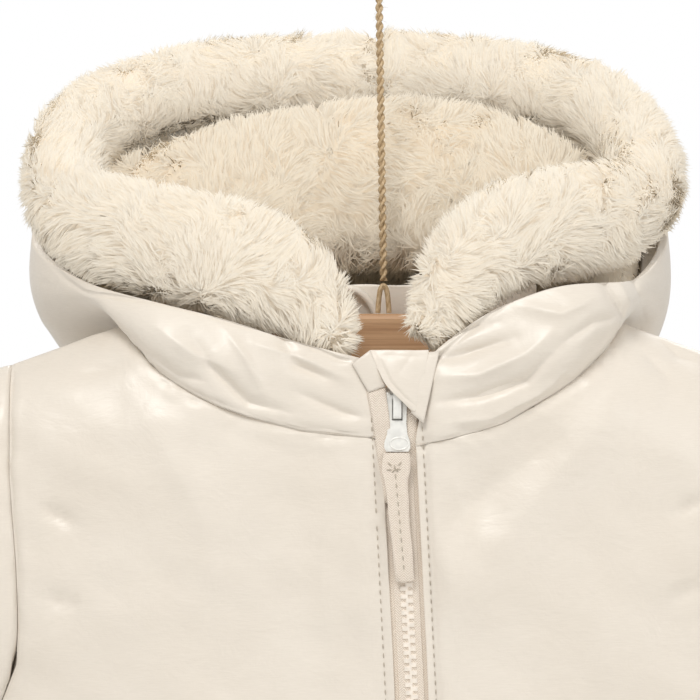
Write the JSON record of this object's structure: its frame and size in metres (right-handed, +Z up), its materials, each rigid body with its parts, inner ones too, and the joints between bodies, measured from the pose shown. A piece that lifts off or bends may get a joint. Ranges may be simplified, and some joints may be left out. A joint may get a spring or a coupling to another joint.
{
  "type": "hooded coat on a wooden hanger",
  "caption": "Child's padded satin coat with a fur-lined hood folded back and a front zip, hanging from a flat wooden hanger on a twine loop.",
  "frame": {"origin": "inside the top of the twine's loop, where it hangs on a hook", "axes": "+X to the viewer's right along the shoulders, +Y from the coat's front to its back, +Z up"},
  "size_m": [0.5736, 0.1391, 0.5524],
  "materials": {
    "satin": "soft satin weave",
    "fur": "long soft pile",
    "tape": "matt woven tape",
    "teeth": "moulded teeth",
    "white_metal": "pale satin enamel",
    "wood": "bare, fine grained",
    "jute": "two-ply twine"
  },
  "bodies": {
    "coat": {"front_left": "satin", "front_right": "satin", "back": "satin", "sleeve_left": "satin", "sleeve_right": "satin", "hood_left": "satin", "hood_right": "satin", "neck_facing": "satin", "hang_loop": "satin", "chin_guard": "satin", "fur_edge_left": "fur", "fur_edge_right": "fur", "fur_neck": "fur", "fur_lining": "fur", "zip_tape_left": "tape", "zip_tape_right": "tape", "zip_chain": "teeth", "slider": "white_metal", "hanger": "wood", "twine": "jute", "twine_legs": "jute", "twine_knot": "jute", "twine_loop": "jute"},
    "pull": {"pull": "white_metal", "pull_tape": "tape"}
  },
  "joints": [
    {"name": "pull_hinge", "type": "hinge", "parent": "coat", "child": "pull", "pos_m": [0.0066, -0.0357, -0.1775], "axis": [-1, 0, 0], "range_deg": [0, 30]}
  ]
}
